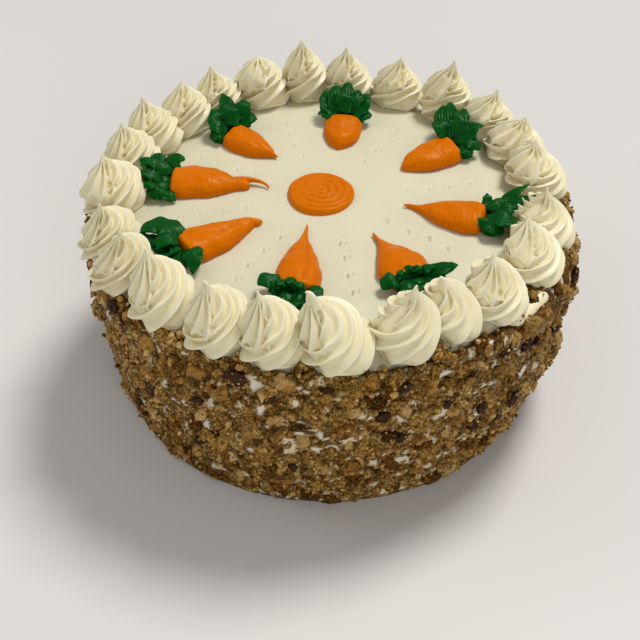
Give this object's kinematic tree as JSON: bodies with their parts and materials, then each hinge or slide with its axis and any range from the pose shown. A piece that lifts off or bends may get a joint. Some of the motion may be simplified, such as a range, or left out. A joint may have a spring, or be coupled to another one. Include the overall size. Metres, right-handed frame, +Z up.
{
  "type": "carrot cake",
  "caption": "Uncut round layer cake in cream frosting, its side pressed with chopped nuts and crumbs, with a ring of piped swirls and piped carrots around a flat coil on top.",
  "frame": {"origin": "centre of the cake's flat underside", "axes": "+Z up through the cake, -Y towards the front of the cake, where the long piped carrot points away from the viewer"},
  "size_m": [0.2389, 0.2349, 0.1295],
  "materials": {
    "frosting": "ivory cream cheese frosting, smooth and softly glossy",
    "nuts_and_crumbs": "chopped walnuts and cake crumbs, dry and rough",
    "orange_icing": "orange buttercream, soft gloss",
    "green_icing": "dark green buttercream, soft gloss"
  },
  "bodies": {
    "root": {"iced_cake": "frosting", "nut_crumb_coating": "nuts_and_crumbs", "rosette_01": "frosting", "rosette_02": "frosting", "rosette_03": "frosting", "rosette_04": "frosting", "rosette_05": "frosting", "rosette_06": "frosting", "rosette_07": "frosting", "rosette_08": "frosting", "rosette_09": "frosting", "rosette_10": "frosting", "rosette_11": "frosting", "rosette_12": "frosting", "rosette_13": "frosting", "rosette_14": "frosting", "rosette_15": "frosting", "rosette_16": "frosting", "rosette_17": "frosting", "rosette_18": "frosting", "rosette_19": "frosting", "rosette_20": "frosting", "rosette_21": "frosting", "rosette_22": "frosting", "rosette_23": "frosting", "rosette_24": "frosting", "carrot_01": "orange_icing", "carrot_02": "orange_icing", "carrot_03": "orange_icing", "carrot_04": "orange_icing", "carrot_05": "orange_icing", "carrot_06": "orange_icing", "carrot_07": "orange_icing", "carrot_08": "orange_icing", "carrot_top_01": "green_icing", "carrot_top_02": "green_icing", "carrot_top_03": "green_icing", "carrot_top_04": "green_icing", "carrot_top_05": "green_icing", "carrot_top_06": "green_icing", "carrot_top_07": "green_icing", "carrot_top_08": "green_icing", "centre_disc": "orange_icing"}
  },
  "joints": []
}
